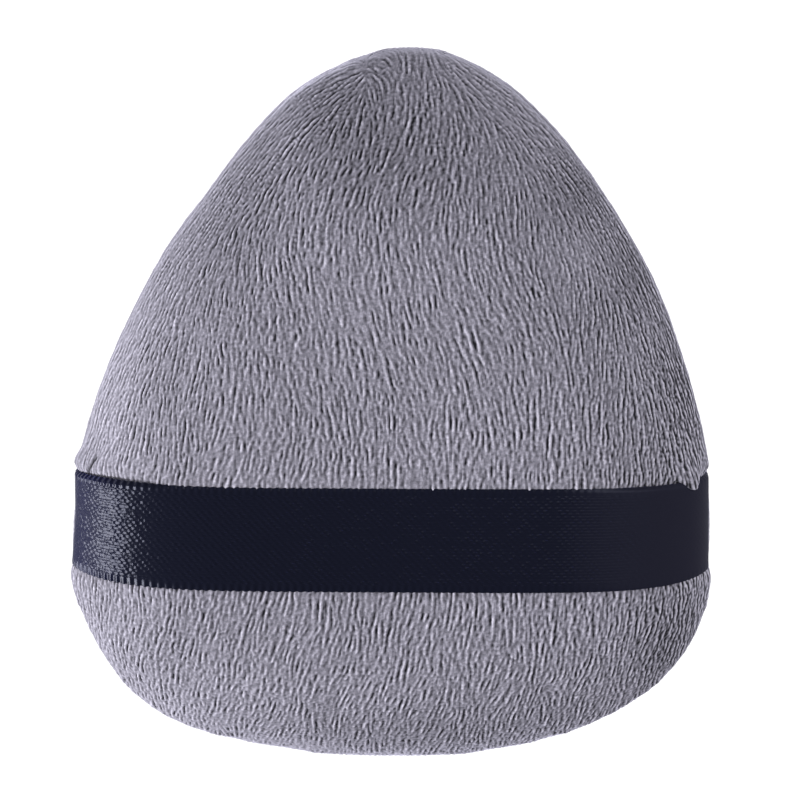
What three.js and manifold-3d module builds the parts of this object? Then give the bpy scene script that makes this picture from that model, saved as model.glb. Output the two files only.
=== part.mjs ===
// A plush powder puff: two velour panels sewn face to face and turned over a foam core, with a satin
// ribbon across the front whose ends are caught in the side seams.
// Millimetres, +Z up. The puff lies on its flat application face with the strap on top and the tip of
// its drop shape towards +Y. The origin is on the table, under the middle of the puff.

import * as THREE from 'three';
import { mergeVertices } from 'three/addons/utils/BufferGeometryUtils.js';
import Module from 'manifold-3d';

const wasm = await Module();
wasm.setup();

// Outline, seen from the strap side
const puffWidth = 75;
const puffLength = 84.5;
const widestAboveBase = 26.7;
const tipDrift = 1.9; // the sewn tip sits a little to the right of the middle
const tipReach = 18.3; // handle of the curve that rounds the tip
const shoulderReach = 19.6; // handle that carries the sides up from the widest line
const cornerReach = 22.2; // handle that carries the sides down into the lower corners
const baseReach = 17.6; // handle that flattens the base

// Thickness and seam
const frontRise = 11.2; // crown of the strap side above the seam
const seamHeight = 10.8; // seam above the table
const restSag = 0.5; // how much of the back crown is pressed flat where it rests
const crownPower = 5.5; // 2 is an ellipse, more is a flatter crown
const shoulderPower = 1.3; // 2 is a round shoulder, less slopes down to the edge
const velourThickness = 2.4; // knitted ground and pile
const seamAllowance = 5;
const allowanceThickness = 0.9; // the pile is crushed in the seam
const seamTurn = 0.8; // rise of the edge's widest line above the allowance
const seamDraw = 1.2; // how far the seam draws the edge in
const clearance = 0.3; // between pieces that touch on the real puff

// Ribbon strap
const strapWidth = 12;
const strapThickness = 0.4;
const strapAboveBase = 30.1;
const strapTail = 5.2; // length held between the seam allowances

// Threads
const seamThread = 0.4;
const seamInset = 1; // seam line inside the inner wall of the panels
const turningGap = 26; // stretch of the base seam closed by hand
const closingThread = 0.3;
const closingStitches = 9;
const closingReach = 0.35; // how far each hand stitch reaches above and below the seam
const closingInset = 0.15; // how far the hand stitches lie inside the widest edge
const tackLength = 10;
const tackWidth = 1.6;
const tackStitches = 8;

// Facets
const outlineSteps = 13; // for each quarter of the outline
const crownSteps = 7;
const hiddenSteps = 6; // for the crowns inside the cover
const lipSteps = 3;
const strapSteps = 16; // for each half of the strap
const threadSides = 5;
const stitchSteps = 4; // for each zigzag stitch
const smoothCurve = 0.5; // tension of a thread that follows the outline
const sharpCurve = 0.2; // tension of a zigzag

const halfWidth = puffWidth / 2;
const halfLength = puffLength / 2;
const strapY = strapAboveBase - halfLength;
const seamHalfGap = clearance / 2;
const allowanceTop = seamHalfGap + allowanceThickness; // above or below the seam
const edgeTurn = allowanceTop + seamTurn; // widest line of each panel, above or below the seam
const threadLift = allowanceTop + clearance + seamThread / 2;
const grooveHalf = threadLift + seamThread / 2 + clearance;

// The drop-shaped outline as four smooth curves, anticlockwise from the base
function dropOutline() {
  const widestY = widestAboveBase - halfLength;
  const path = new THREE.Path();
  path.moveTo(0, -halfLength);
  path.bezierCurveTo(baseReach, -halfLength, halfWidth, widestY - cornerReach, halfWidth, widestY);
  path.bezierCurveTo(
    halfWidth, widestY + shoulderReach, tipDrift + tipReach, halfLength, tipDrift, halfLength);
  path.bezierCurveTo(
    tipDrift - tipReach, halfLength, -halfWidth, widestY + shoulderReach, -halfWidth, widestY);
  path.bezierCurveTo(
    -halfWidth, widestY - cornerReach, -baseReach, -halfLength, 0, -halfLength);
  return path.getPoints(outlineSteps).slice(0, -1);
}

const outline = dropOutline();
const outlineEdges = outline.map((point, i) => [point, outline[(i + 1) % outline.length]]);

// Distance from the middle to the outline in the direction of a point
function outlineReach(x, y) {
  const length = Math.hypot(x, y);
  const way = new THREE.Vector2(x / length, y / length);
  for (const [a, b] of outlineEdges) {
    if (way.dot(a) > 0 && way.cross(a) <= 0 && way.cross(b) > 0) {
      return a.cross(b) / way.cross(b.clone().sub(a));
    }
  }
  return halfWidth;
}

// Where the outline crosses a level y, on the left or the right
function outlineCrossing(y, side) {
  for (const [a, b] of outlineEdges) {
    if (side * (a.x + b.x) > 0 && (a.y - y) * (b.y - y) <= 0 && a.y !== b.y) {
      return a.x + (b.x - a.x) * (y - a.y) / (b.y - a.y);
    }
  }
  return side * halfWidth;
}

// The outline drawn in by an inset at its widest, at a height
function ring(inset, z, share = 1) {
  const scale = share * (halfWidth - inset) / halfWidth;
  return outline.map((point) => new THREE.Vector3(point.x * scale, point.y * scale, z));
}

// Rings of one crown, from the middle outwards. The back crown is cut flat where it rests.
function crownRings(side, inset, endHeight, steps) {
  const sag = side < 0 ? restSag : 0;
  const rise = (side > 0 ? frontRise : seamHeight + restSag) - edgeTurn - inset;
  const angleAt = (height) => Math.acos(Math.pow(height / rise, shoulderPower / 2));
  const start = angleAt(rise - sag);
  const end = angleAt(endHeight - edgeTurn);
  const rings = [];
  for (let i = side < 0 ? 0 : 1; i <= steps; i++) {
    const angle = start + (end - start) * i / steps;
    const height = edgeTurn + rise * Math.pow(Math.cos(angle), 2 / shoulderPower);
    const share = Math.pow(Math.sin(angle), 2 / crownPower);
    rings.push(ring(inset, seamHeight + side * height, share));
  }
  return rings;
}

function crownPole(side, inset) {
  const height = side > 0 ? frontRise - inset : seamHeight - inset;
  return new THREE.Vector3(0, 0, seamHeight + side * height);
}

// A closed solid through rings, from the pole at one end to the pole at the other
function loft(firstPole, rings, lastPole) {
  const count = outline.length;
  const points = [firstPole, ...rings.flat(), lastPole];
  const last = points.length - 1;
  const index = [];
  for (let j = 0; j < count; j++) {
    const next = (j + 1) % count;
    index.push(0, 1 + next, 1 + j);
    for (let i = 0; i + 1 < rings.length; i++) {
      const low = 1 + i * count;
      const high = low + count;
      index.push(low + j, low + next, high + j);
      index.push(low + next, high + next, high + j);
    }
    const top = last - count;
    index.push(top + j, top + next, last);
  }
  const geometry = new THREE.BufferGeometry().setFromPoints(points);
  geometry.setIndex(index);
  return geometry;
}

function solidOf(geometry) {
  const bare = geometry.clone();
  bare.deleteAttribute('normal');
  bare.deleteAttribute('uv');
  const merged = mergeVertices(bare);
  return new wasm.Manifold(new wasm.Mesh({
    numProp: 3,
    vertProperties: new Float32Array(merged.attributes.position.array),
    triVerts: new Uint32Array(merged.index.array),
  }));
}

function geometryOf(solid) {
  const mesh = solid.getMesh();
  const geometry = new THREE.BufferGeometry();
  geometry.setAttribute('position', new THREE.BufferAttribute(mesh.vertProperties, 3));
  geometry.setIndex(new THREE.BufferAttribute(mesh.triVerts, 1));
  return geometry;
}

function cut(geometry, cutter) {
  return geometryOf(solidOf(geometry).subtract(solidOf(cutter)));
}

// One velour panel: a crowned shell whose edge rolls in to the seam and ends in a flat allowance
function velourPanel(side) {
  const level = (height) => seamHeight + side * height;
  const rings = crownRings(side, 0, edgeTurn, crownSteps);
  for (let i = 1; i <= lipSteps; i++) {
    const angle = (Math.PI / 2) * i / lipSteps;
    const inset = seamDraw * (1 - Math.cos(angle));
    rings.push(ring(inset, level(edgeTurn - (edgeTurn - seamHalfGap) * Math.sin(angle))));
  }
  const allowanceEnd = velourThickness + seamAllowance;
  rings.push(ring(allowanceEnd, level(seamHalfGap)));
  rings.push(ring(allowanceEnd, level(allowanceTop)));
  rings.push(ring(velourThickness, level(allowanceTop)));
  rings.push(...crownRings(side, velourThickness, edgeTurn, hiddenSteps).reverse());
  const poles = [crownPole(side, 0), crownPole(side, velourThickness)];
  if (side > 0) {
    rings.reverse();
    poles.reverse();
  }
  return loft(poles[0], rings, poles[1]);
}

// The core fills the cover and closes round the seam allowances in a groove
function foamCore() {
  const inset = velourThickness + clearance;
  const grooveInset = velourThickness + seamAllowance + clearance;
  const rings = [
    ...crownRings(-1, inset, grooveHalf, hiddenSteps),
    ring(grooveInset, seamHeight - grooveHalf),
    ring(grooveInset, seamHeight + grooveHalf),
    ...crownRings(1, inset, grooveHalf, hiddenSteps).reverse(),
  ];
  return loft(crownPole(-1, inset), rings, crownPole(1, inset));
}

// Height of the front crown above the table
function crownHeight(x, y) {
  const share = Math.min(1, Math.hypot(x, y) / outlineReach(x, y));
  const rise = frontRise - edgeTurn;
  return seamHeight + edgeTurn + rise * Math.pow(1 - Math.pow(share, crownPower), 1 / shoulderPower);
}

// Outer face of one half of the strap, from its tail in the seam to the middle
function strapHalf(side, tail) {
  const edge = outlineCrossing(strapY, side);
  const turn = edgeTurn + strapThickness / 2;
  const bendX = edge - side * turn;
  const points = [new THREE.Vector2(bendX - side * tail, seamHeight - strapThickness / 2)];
  for (let i = 0; i <= lipSteps; i++) {
    const angle = (Math.PI / 2) * i / lipSteps;
    const z = seamHeight + edgeTurn - turn * Math.cos(angle);
    points.push(new THREE.Vector2(bendX + side * turn * Math.sin(angle), z));
  }
  for (let i = 1; i < strapSteps; i++) {
    const x = edge * Math.pow(Math.cos((Math.PI / 2) * i / strapSteps), 2 / crownPower);
    points.push(new THREE.Vector2(x, crownHeight(x, strapY)));
  }
  return points;
}

// The strap's run between two offsets from its outer face, extruded to a width
function strapStrip(inner, outer, width, tail) {
  const middle = new THREE.Vector2(0, crownHeight(0, strapY));
  const face = [...strapHalf(-1, tail), middle, ...strapHalf(1, tail).reverse()];
  const offsetFace = (distance) => face.map((point, i) => {
    const before = face[Math.max(0, i - 1)];
    const after = face[Math.min(face.length - 1, i + 1)];
    const along = after.clone().sub(before).normalize();
    return new THREE.Vector2(point.x - along.y * distance, point.y + along.x * distance);
  });
  const shape = new THREE.Shape([...offsetFace(outer), ...offsetFace(-inner).reverse()]);
  const geometry = new THREE.ExtrudeGeometry(shape, { depth: width, bevelEnabled: false });
  geometry.rotateX(Math.PI / 2);
  geometry.translate(0, strapY + width / 2, 0);
  return geometry;
}

// A thread along points
function threadAlong(points, thickness, tension, steps) {
  const corners = [];
  for (let i = 0; i < threadSides; i++) {
    const angle = 2 * Math.PI * i / threadSides;
    corners.push(new THREE.Vector2(Math.cos(angle), Math.sin(angle)).multiplyScalar(thickness / 2));
  }
  const section = new THREE.Shape(corners);
  const extrudePath = new THREE.CatmullRomCurve3(points, false, 'catmullrom', tension);
  return new THREE.ExtrudeGeometry(section, { steps, extrudePath, bevelEnabled: false });
}

// One thread of the lockstitch seam, from one side of the turning gap round the tip to the other
function seamLine(side) {
  const line = ring(velourThickness + seamInset, seamHeight + side * threadLift);
  const kept = line.filter((point) => point.y > 0 || Math.abs(point.x) > turningGap / 2);
  return threadAlong(kept, seamThread, smoothCurve, kept.length - 1);
}

// Zigzag of the hand stitch across the seam at the base
function closingZigzag() {
  const points = [];
  for (let i = 0; i <= 2 * closingStitches; i++) {
    const x = turningGap * (i / (2 * closingStitches) - 0.5);
    const scale = (halfWidth - closingInset) / halfWidth;
    const reach = scale * outlineReach(x, -halfLength) / Math.hypot(x, halfLength);
    const z = seamHeight + closingReach * (i % 2 === 0 ? 1 : -1);
    points.push(new THREE.Vector3(x * reach, -halfLength * reach, z));
  }
  return threadAlong(points, closingThread, sharpCurve, stitchSteps * closingStitches);
}

// Bar tack over one ribbon tail, on the front allowance
function tackZigzag(side) {
  const lineX = Math.abs(outlineCrossing(strapY, side)) - velourThickness - seamAllowance;
  const points = [];
  for (let i = 0; i <= 2 * tackStitches; i++) {
    const x = side * (lineX + seamThread + tackWidth * (i % 2));
    const y = strapY + tackLength * (i / (2 * tackStitches) - 0.5);
    points.push(new THREE.Vector3(x, y, seamHeight + threadLift));
  }
  return threadAlong(points, seamThread, sharpCurve, stitchSteps * tackStitches);
}

const velourLook = { color: 0x8f8a93, roughness: 0.95, metalness: 0 };
const ribbonLook = { color: 0x181a24, roughness: 0.35, metalness: 0 };
const foamLook = { color: 0xf1ede2, roughness: 0.9, metalness: 0 };
const threadLook = { color: 0x6f6a76, roughness: 0.7, metalness: 0 };

const puff = new THREE.Group();

function addPiece(name, geometry, look) {
  const mesh = new THREE.Mesh(geometry, new THREE.MeshStandardMaterial(look));
  mesh.name = name;
  puff.add(mesh);
}

// The ribbon lies in a bed pressed into the pile, and its tails in a slot between the allowances
const slotWidth = strapWidth + 2 * clearance;
const slotDepth = strapThickness + clearance;
const slotTail = strapTail + clearance;
const pressedBed = strapStrip(slotDepth, velourThickness, slotWidth, slotTail);
const tailSlot = strapStrip(slotDepth, clearance, slotWidth, slotTail);

addPiece('front_velour', cut(velourPanel(1), pressedBed), velourLook);
addPiece('back_velour', cut(velourPanel(-1), tailSlot), velourLook);
addPiece('foam_core', foamCore(), foamLook);
addPiece('strap_ribbon', strapStrip(strapThickness, 0, strapWidth, strapTail), ribbonLook);
addPiece('needle_thread', seamLine(1), threadLook);
addPiece('bobbin_thread', seamLine(-1), threadLook);
addPiece('left_strap_tack', tackZigzag(-1), threadLook);
addPiece('right_strap_tack', tackZigzag(1), threadLook);
addPiece('closing_stitch', closingZigzag(), threadLook);

export default puff;
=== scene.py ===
# %% [markdown]
# # A drop-shaped plush powder puff
# The real puff is two drops of short plush, sewn face to face round their edge, turned right side
# out and filled with a soft sponge. A satin ribbon is caught in the seam at both sides, so that two
# fingers slip under it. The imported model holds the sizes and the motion. This script dresses it: it
# makes the cloth, the pile, the ribbon and the sponge in the same frame, in metres.

# %% Load the frame
import math

import bpy
import numpy as np
from mathutils import Matrix, Vector


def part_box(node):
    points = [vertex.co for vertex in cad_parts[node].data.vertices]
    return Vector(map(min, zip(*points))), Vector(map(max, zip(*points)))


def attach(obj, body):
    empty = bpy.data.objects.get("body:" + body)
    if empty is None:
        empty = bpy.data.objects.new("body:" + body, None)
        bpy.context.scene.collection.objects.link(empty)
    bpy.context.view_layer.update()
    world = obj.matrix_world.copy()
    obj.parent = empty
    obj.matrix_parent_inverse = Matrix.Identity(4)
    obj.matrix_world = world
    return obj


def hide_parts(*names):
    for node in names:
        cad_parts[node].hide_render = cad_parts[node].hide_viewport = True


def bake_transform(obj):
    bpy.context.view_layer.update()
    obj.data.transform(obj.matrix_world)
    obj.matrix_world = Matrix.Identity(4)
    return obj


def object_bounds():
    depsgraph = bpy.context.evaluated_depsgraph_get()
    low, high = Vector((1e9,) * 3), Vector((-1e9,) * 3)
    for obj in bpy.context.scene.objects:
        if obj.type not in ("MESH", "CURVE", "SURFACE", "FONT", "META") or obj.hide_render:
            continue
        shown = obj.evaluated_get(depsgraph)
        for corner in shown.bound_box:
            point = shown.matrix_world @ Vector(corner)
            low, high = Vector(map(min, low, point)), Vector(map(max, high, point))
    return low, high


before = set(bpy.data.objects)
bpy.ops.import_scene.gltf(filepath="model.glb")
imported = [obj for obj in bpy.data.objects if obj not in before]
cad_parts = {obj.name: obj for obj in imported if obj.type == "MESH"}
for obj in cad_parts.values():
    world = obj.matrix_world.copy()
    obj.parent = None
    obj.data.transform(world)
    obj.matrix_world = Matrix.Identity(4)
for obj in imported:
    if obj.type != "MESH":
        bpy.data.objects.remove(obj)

CAD_LOW, CAD_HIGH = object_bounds()
MM = 0.001
bpy.ops.object.select_all(action="DESELECT")
print("frame box in mm:", [round(v / MM, 2) for v in (*CAD_LOW, *CAD_HIGH)])

# %% [markdown]
# ## What the frame already knows
# Every size that the imported model holds is read from its boxes, so that nothing here has to be
# fitted by eye. The two panels meet at the seam, halfway between the front panel's lowest point and
# the back panel's highest one. The ribbon's box gives its width and its place.

# %% Measures from the frame
HALF_WIDTH = CAD_HIGH.x
HALF_LENGTH = CAD_HIGH.y
TOP_Z = CAD_HIGH.z
SEAM_Z = (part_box("front_velour")[0].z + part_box("back_velour")[1].z) / 2
STRAP_LOW, STRAP_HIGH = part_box("strap_ribbon")
STRAP_Y = (STRAP_LOW.y + STRAP_HIGH.y) / 2
STRAP_WIDTH = STRAP_HIGH.y - STRAP_LOW.y
print(f"seam at {SEAM_Z / MM:.2f} mm, strap at y {STRAP_Y / MM:.2f} mm, {STRAP_WIDTH / MM:.2f} mm wide")

# %% [markdown]
# ## Camera
# The photograph looks almost straight down on the puff, from a little past its tip, with a long lens.
# That lean is why the ribbon's ends, which drop down the sides, bend towards the tip in the picture.
# A camera looks along its own -Z, so one turn about X leans it and a small turn about its own Z
# gives the picture's slight roll.

# %% Make the camera
CAMERA_LEAN = math.radians(16.8)
CAMERA_ROLL = math.radians(0.33)
CAMERA_DISTANCE = 450 * MM
SEEN_WIDTH = 92.1 * MM
LOOK_AT = Vector((0.84 * MM, 1.03 * MM, SEAM_Z))
NEAREST_SEEN = 10 * MM

turn = Matrix.Rotation(-CAMERA_LEAN, 4, "X") @ Matrix.Rotation(CAMERA_ROLL, 4, "Z")
bpy.ops.object.camera_add()
camera = bpy.context.object
camera.name = "photo_camera"
camera.matrix_world = Matrix.Translation(LOOK_AT) @ turn @ Matrix.Translation((0, 0, CAMERA_DISTANCE))
camera.data.lens = camera.data.sensor_width * CAMERA_DISTANCE / SEEN_WIDTH
camera.data.clip_start = NEAREST_SEEN
bpy.context.scene.camera = camera
print(f"camera {CAMERA_DISTANCE / MM:.0f} mm away, lens {camera.data.lens:.0f} mm")

# %% [markdown]
# ## Floor and light
# The puff lies on a white sheet under soft boxes. The satin is nearly black where it faces straight
# up, so nothing bright hangs overhead. It flares at its left end, so the strongest box is tall and
# stands on the left, close to the floor. A weaker one behind the tip, on the right, fills that side
# from where the satin does not mirror it. The room itself is bright towards the horizon and dark
# overhead. The Standard view keeps the sheet white.

# %% Make the floor
FLOOR_SIZE = 3.0
FLOOR_DROP = 0.25 * MM
FLOOR_GLOW = 0.98
PAPER_GREY = (0.15, 0.15, 0.15)


def tune(node, settings):
    """Sets a node's inputs, found by their names or numbers, to plain values."""
    for name, value in settings.items():
        node.inputs[name].default_value = value


def plain_material(name, colour, roughness):
    """A new material with one Principled shader. Returns both."""
    material = bpy.data.materials.new(name)
    material.use_nodes = True
    shader = material.node_tree.nodes["Principled BSDF"]
    tune(shader, {"Base Color": (*colour, 1), "Roughness": roughness})
    return material, shader


bpy.ops.mesh.primitive_plane_add(size=FLOOR_SIZE, location=(0, 0, -FLOOR_DROP))
floor = bpy.context.object
floor.name = "paper_floor"
bpy.ops.object.transform_apply(location=True)
paper, paper_shader = plain_material("lit_sheet", PAPER_GREY, 0.8)
tune(paper_shader, {
    "Specular IOR Level": 0.1,
    "Emission Color": (1, 1, 1, 1),
    "Emission Strength": FLOOR_GLOW,
})
floor.data.materials.append(paper)
print(f"floor of {FLOOR_SIZE} m, {FLOOR_DROP / MM} mm under the puff")

# %% Make the lights
BOX_DISTANCE = 0.8
BOXES = {
    "left_box": {"side": -108, "height": 17.5, "wide": 0.3, "tall": 0.46, "power": 13.8},
    "right_box": {"side": 60, "height": 57, "wide": 0.6, "tall": 0.6, "power": 7.0},
}


def soft_box(name, side, height, wide, tall, power):
    """An oblong area light; side is degrees clockwise from +Y, height is degrees above the floor."""
    a = math.radians(side)
    e = math.radians(height)
    away = Vector((math.sin(a) * math.cos(e), math.cos(a) * math.cos(e), math.sin(e)))
    bpy.ops.object.light_add(type="AREA", location=away * BOX_DISTANCE)
    light = bpy.context.object
    light.name = name
    light.rotation_euler = away.to_track_quat("Z", "Y").to_euler()
    light.data.shape = "RECTANGLE"
    light.data.size = wide
    light.data.size_y = tall
    light.data.energy = power
    return light


for box_name, box in BOXES.items():
    soft_box(box_name, **box)
print("soft boxes:", ", ".join(BOXES))

# %% Make the room
HORIZON = (0.34, 0.34, 0.36)
OVERHEAD = (0.1, 0.1, 0.11)
HORIZON_TOP = 0.35
OVERHEAD_FROM = 0.75
ROOM_LEAN = -0.6


def add(tree, kind, **settings):
    """A new node with its settings."""
    node = tree.nodes.new(kind)
    for key, value in settings.items():
        setattr(node, key, value)
    return node


def wire(tree, source, target, name):
    """Links an output socket to a node's input, found by its name or number."""
    tree.links.new(source, target.inputs[name])


def ramp(tree, stops, value):
    """A Color Ramp over the given stops of (place, colour). Returns its colour output."""
    node = add(tree, "ShaderNodeValToRGB")
    elements = node.color_ramp.elements
    while len(elements) < len(stops):
        elements.new(0.5)
    for element, (place, colour) in zip(elements, stops):
        element.position = place
        element.color = (*colour, 1)
    wire(tree, value, node, "Fac")
    return node.outputs["Color"]


def studio_room():
    """A room that is bright towards the horizon, most on the left, and dark overhead."""
    world = bpy.data.worlds.new("studio_room")
    world.use_nodes = True
    tree = world.node_tree
    background = tree.nodes["Background"]
    direction = add(tree, "ShaderNodeSeparateXYZ")
    wire(tree, add(tree, "ShaderNodeTexCoord").outputs["Generated"], direction, 0)
    stops = [(HORIZON_TOP, HORIZON), (OVERHEAD_FROM, OVERHEAD)]
    wire(tree, ramp(tree, stops, direction.outputs["Z"]), background, "Color")
    lean = add(tree, "ShaderNodeMath", operation="MULTIPLY_ADD")
    tune(lean, {1: ROOM_LEAN, 2: 1})
    wire(tree, direction.outputs["X"], lean, 0)
    wire(tree, lean.outputs[0], background, "Strength")
    return world


bpy.context.scene.world = studio_room()
bpy.context.scene.view_settings.view_transform = "Standard"
print("room:", bpy.context.scene.world.name)

# %% [markdown]
# ## The drop's outline
# A pattern cutter draws the drop with a few smooth curves, so a Bezier circle is the natural start:
# its four points become the left side, the tip, the right side and the base, and each handle says
# how far the curve runs straight before it turns. The tip drifts a little to the right, as sewn
# tips do. The curve turned into a mesh is one closed ring of edges, ready to be extruded.

# %% Draw the outline
WIDEST_Y = -HALF_LENGTH + 26.7 * MM
TIP_DRIFT = 1.9 * MM
TIP_REACH = 18.3 * MM
SHOULDER_REACH = 19.6 * MM
CORNER_REACH = 22.2 * MM
BASE_REACH = 17.6 * MM
OUTLINE_STEPS = 32


def only(obj):
    """Selects one object and nothing else, and makes it the active one."""
    bpy.ops.object.select_all(action="DESELECT")
    obj.select_set(True)
    bpy.context.view_layer.objects.active = obj


def set_point(point, place, before, after):
    """Puts a curve point and its two handles, all given in the plane."""
    point.handle_left_type = "FREE"
    point.handle_right_type = "FREE"
    point.co = (*place, 0)
    point.handle_left = (*before, 0)
    point.handle_right = (*after, 0)


def drop_outline(name):
    """The drop's edge as a closed ring of edges at z = 0."""
    bpy.ops.object.select_all(action="DESELECT")
    bpy.ops.curve.primitive_bezier_circle_add(radius=HALF_WIDTH)
    ring = bpy.context.object
    ring.name = name
    left, tip, right, base = ring.data.splines[0].bezier_points
    w, h = HALF_WIDTH, HALF_LENGTH
    low, high = WIDEST_Y - CORNER_REACH, WIDEST_Y + SHOULDER_REACH
    set_point(left, (-w, WIDEST_Y), (-w, low), (-w, high))
    set_point(tip, (TIP_DRIFT, h), (TIP_DRIFT - TIP_REACH, h), (TIP_DRIFT + TIP_REACH, h))
    set_point(right, (w, WIDEST_Y), (w, high), (w, low))
    set_point(base, (0, -h), (BASE_REACH, -h), (-BASE_REACH, -h))
    ring.data.resolution_u = OUTLINE_STEPS
    bpy.ops.object.convert(target="MESH")
    return ring


def points_of(obj):
    """The object's vertices as an array."""
    co = np.empty(len(obj.data.vertices) * 3)
    obj.data.vertices.foreach_get("co", co)
    return co.reshape(-1, 3)


def move_points(obj, co):
    """Puts the object's vertices where the array says."""
    obj.data.vertices.foreach_set("co", np.asarray(co, float).ravel())
    obj.data.update()


outline = drop_outline("drop_outline")
edge_points = points_of(outline)
edge_angles = np.arctan2(edge_points[:, 1], edge_points[:, 0])
edge_order = np.argsort(edge_angles)
edge_angles = edge_angles[edge_order]
edge_radii = np.hypot(edge_points[:, 0], edge_points[:, 1])[edge_order]
print(f"outline of {len(edge_points)} points")

# %% [markdown]
# ## The crown
# A stuffed cover stands nearly upright at the seam, slopes over a shoulder and is almost flat on top.
# One formula says this: with s the share of the way from the middle to the edge, one power of s says
# how flat the top is and a root says how the shoulder slopes. Stepping by an angle gives even rings.
# The form is built by hand: the outline is extruded upwards, ring by ring, each drawn in a little.

# %% Build the stuffed form
EDGE_TURN = 1.85 * MM
CROWN_POWER = 5.5
SHOULDER_POWER = 1.3
FRONT_RISE = TOP_Z - SEAM_Z
REST_SAG = 0.5 * MM
BACK_RISE = SEAM_Z + REST_SAG
CROWN_STEPS = 18
LAST_RING = math.radians(89)
NEARLY_ZERO = 1e-6


def reach(x, y):
    """How far the outline lies from the middle, in the direction of a point."""
    return np.interp(np.arctan2(y, x), edge_angles, edge_radii, period=2 * math.pi)


def crown_height(x, y):
    """Height of the stuffed front above the seam, at a place in the plane."""
    share = np.clip(np.hypot(x, y) / reach(x, y), 0, 1)
    return EDGE_TURN + (FRONT_RISE - EDGE_TURN) * (1 - share**CROWN_POWER) ** (1 / SHOULDER_POWER)


def raise_crown(rise, direction):
    """Extrudes the selected ring of edges into a dome; direction is 1 for up and -1 for down."""
    bpy.ops.mesh.extrude_edges_move(TRANSFORM_OT_translate={"value": (0, 0, direction * EDGE_TURN)})
    share, height = 1.0, EDGE_TURN
    for step in range(1, CROWN_STEPS + 1):
        a = LAST_RING * step / CROWN_STEPS
        new_share = math.cos(a) ** (2 / CROWN_POWER)
        new_height = EDGE_TURN + (rise - EDGE_TURN) * math.sin(a) ** (2 / SHOULDER_POWER)
        lift = direction * (new_height - height)
        bpy.ops.mesh.extrude_edges_move(TRANSFORM_OT_translate={"value": (0, 0, lift)})
        k = new_share / share
        bpy.ops.transform.resize(value=(k, k, 1), center_override=(0, 0, 0))
        share, height = new_share, new_height
    bpy.ops.mesh.edge_face_add()


def stuffed_form(name, inset, front_rise, back_rise):
    """A closed drop whose edge lies inside the outline by inset, crowned on both sides."""
    form = drop_outline(name)
    bpy.ops.object.mode_set(mode="EDIT")
    bpy.ops.mesh.select_all(action="SELECT")
    k = (HALF_WIDTH - inset) / HALF_WIDTH
    bpy.ops.transform.resize(value=(k, k, 1), center_override=(0, 0, 0))
    bpy.ops.transform.translate(value=(0, 0, SEAM_Z))
    raise_crown(front_rise, 1)
    bpy.ops.object.mode_set(mode="OBJECT")
    for v in form.data.vertices:
        v.select = abs(v.co.z - SEAM_Z) < NEARLY_ZERO
    for e in form.data.edges:
        e.select = all(form.data.vertices[i].select for i in e.vertices)
    for f in form.data.polygons:
        f.select = False
    bpy.ops.object.mode_set(mode="EDIT")
    bpy.ops.mesh.select_mode(type="EDGE")
    raise_crown(back_rise, -1)
    bpy.ops.mesh.select_all(action="SELECT")
    bpy.ops.mesh.normals_make_consistent(inside=False)
    bpy.ops.object.mode_set(mode="OBJECT")
    return form


PILE_HEIGHT = 0.42 * MM
MOST_SWELL = 0.3 * MM
KEPT_BACK = PILE_HEIGHT + MOST_SWELL
cover = stuffed_form("cover", PILE_HEIGHT, FRONT_RISE - KEPT_BACK, BACK_RISE - KEPT_BACK)
print(f"cover form: {len(cover.data.polygons)} faces, {cover.dimensions / MM} mm")

# %% [markdown]
# ## Stuffing the cover
# Cloth over a sponge swells where nothing holds it and stays put at the seam. A cloth simulation
# with a little pressure gives just that. It works best on even squares of fair size, so the form is
# remeshed and simulated ten times larger, with the seam pinned, and brought back to size after.
# The movement is capped, because the cover still has to fit the space that the frame gives it.

# %% Simulate the cover
VOXEL = 1.3 * MM
SIM_SCALE = 10
SIM_FRAMES = 20
PRESSURE = 4.0
PINNED_BAND = 2.2 * MM


def refine(obj, levels):
    """Refines an object's mesh with a subdivision surface, applied."""
    only(obj)
    finer = obj.modifiers.new("finer", "SUBSURF")
    finer.levels = levels
    finer.render_levels = levels
    bpy.ops.object.modifier_apply(modifier=finer.name)


def inflate(obj):
    """Swells a closed form with pressure while its seam stays pinned; returns the largest movement."""
    start = points_of(obj)
    move_points(obj, start * SIM_SCALE)
    pins = obj.vertex_groups.new(name="seam_pins")
    held = np.flatnonzero(np.abs(start[:, 2] - SEAM_Z) < PINNED_BAND)
    pins.add([int(i) for i in held], 1.0, "REPLACE")
    cloth = obj.modifiers.new("stuffing", "CLOTH")
    cloth.settings.use_pressure = True
    cloth.settings.uniform_pressure_force = PRESSURE
    cloth.settings.effector_weights.gravity = 0
    cloth.settings.vertex_group_mass = pins.name
    cloth.point_cache.frame_end = SIM_FRAMES
    for number in range(1, SIM_FRAMES + 1):
        bpy.context.scene.frame_set(number)
    only(obj)
    bpy.ops.object.modifier_apply(modifier=cloth.name)
    bpy.context.scene.frame_set(1)
    moved = points_of(obj) / SIM_SCALE - start
    far = np.linalg.norm(moved, axis=1, keepdims=True)
    capped = moved * np.minimum(1, MOST_SWELL / np.maximum(far, NEARLY_ZERO))
    move_points(obj, start + capped)
    return far.max()


only(cover)
cover.data.remesh_voxel_size = VOXEL
bpy.ops.object.voxel_remesh()
print(f"cover swelled by up to {inflate(cover) / MM:.2f} mm")
refine(cover, 1)
print(f"cover: {len(cover.data.vertices)} vertices")

# %% [markdown]
# ## Seam and resting face
# The seam draws the two lips inwards, and the underside lies flat on the table with its pile
# pressed under it. Both are sculpted here by moving vertices: those near the seam go inwards along
# a quarter round, and those under the resting level are lifted to it. The ribbon pulls the sides in
# and lies in a shallow bed, which is deeper where it turns down. The stuffing is never quite even, so
# the edge stands out a little more in some directions, most at the lower left. Then the cover is cut
# at the seam into its two panels.

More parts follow.
